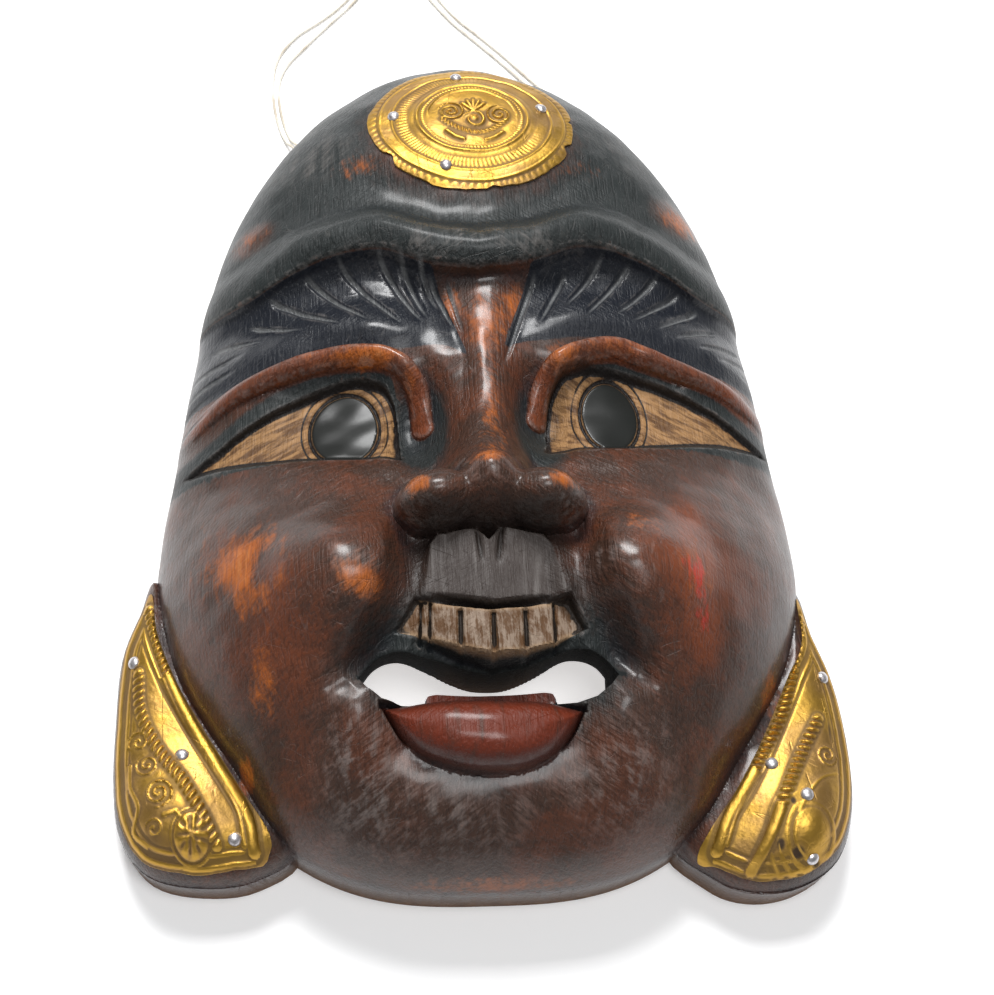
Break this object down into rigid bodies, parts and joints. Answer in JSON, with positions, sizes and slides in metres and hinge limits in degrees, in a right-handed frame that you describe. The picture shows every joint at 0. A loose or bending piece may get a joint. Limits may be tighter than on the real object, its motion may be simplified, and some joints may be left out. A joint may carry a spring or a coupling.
{
  "type": "carved wooden dance mask",
  "caption": "Laughing dance mask of carved lacquered wood with a hollow back, brass plates on crown and ears, and a hanging cord.",
  "frame": {"origin": "on the surface that the back rim lies on, under the middle of the mask's box without its cord, to about a millimetre and a half", "axes": "+X to the viewer's right, +Y from chin to crown, +Z out of the face, which looks up"},
  "size_m": [0.2419, 0.399, 0.091],
  "materials": {
    "lacquered_wood": "carved hardwood, dark red-brown lacquer worn to bare tan wood on eyes, teeth and edges",
    "brass": "embossed sheet brass, aged, dull golden with dark hollows",
    "nail_steel": "domed upholstery nail heads, dull steel",
    "cotton": "off-white twisted cotton twine"
  },
  "bodies": {
    "root": {"mask_body": "lacquered_wood", "crown_disc": "brass", "ear_plate_left": "brass", "ear_plate_right": "brass", "disc_nail_left": "nail_steel", "disc_nail_top": "nail_steel", "disc_nail_right": "nail_steel", "disc_nail_bottom": "nail_steel", "ear_nail_left_upper": "nail_steel", "ear_nail_left_middle": "nail_steel", "ear_nail_left_lower": "nail_steel", "ear_nail_right_upper": "nail_steel", "ear_nail_right_middle": "nail_steel", "ear_nail_right_outer": "nail_steel", "ear_nail_right_lower": "nail_steel", "cord_strand_outer": "cotton", "cord_strand_inner": "cotton", "cord_knot_left": "cotton", "cord_knot_right": "cotton"}
  },
  "joints": []
}
